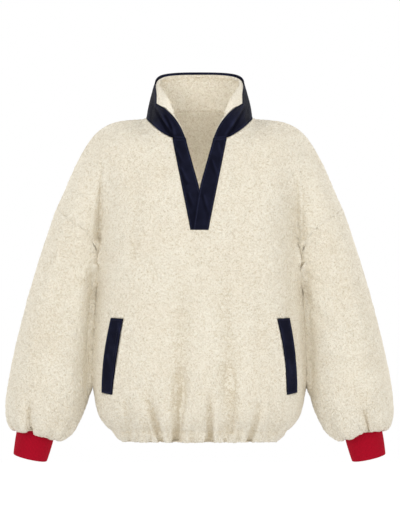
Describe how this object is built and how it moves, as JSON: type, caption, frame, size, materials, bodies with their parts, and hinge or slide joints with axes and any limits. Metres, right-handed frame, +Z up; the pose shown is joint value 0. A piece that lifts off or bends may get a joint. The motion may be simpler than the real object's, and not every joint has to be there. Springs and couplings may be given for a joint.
{
  "type": "sherpa fleece pullover",
  "caption": "Oversized sherpa fleece pullover with a stand collar, a half placket, pocket welts, balloon sleeves with ribbed cuffs and an elasticated hem, filled out as worn.",
  "frame": {"origin": "between the shoulders, level with the points where the shoulder seams meet the collar, in the plane of the shoulder and side seams", "axes": "+Z up, -Y towards the wearer's front, +X towards the wearer's left"},
  "size_m": [0.7394, 0.2887, 0.7386],
  "materials": {
    "fleece": "clumpy sherpa pile",
    "woven_trim": "fine woven cloth, slight sheen",
    "rib_knit": "ribbed knit"
  },
  "bodies": {
    "root": {"front": "fleece", "back": "fleece", "sleeve_left": "fleece", "sleeve_right": "fleece", "collar": "woven_trim", "collar_facing": "fleece", "placket_left": "woven_trim", "placket_right": "woven_trim", "pocket_welt_left": "woven_trim", "pocket_welt_right": "woven_trim", "cuff_left": "rib_knit", "cuff_right": "rib_knit"}
  },
  "joints": []
}
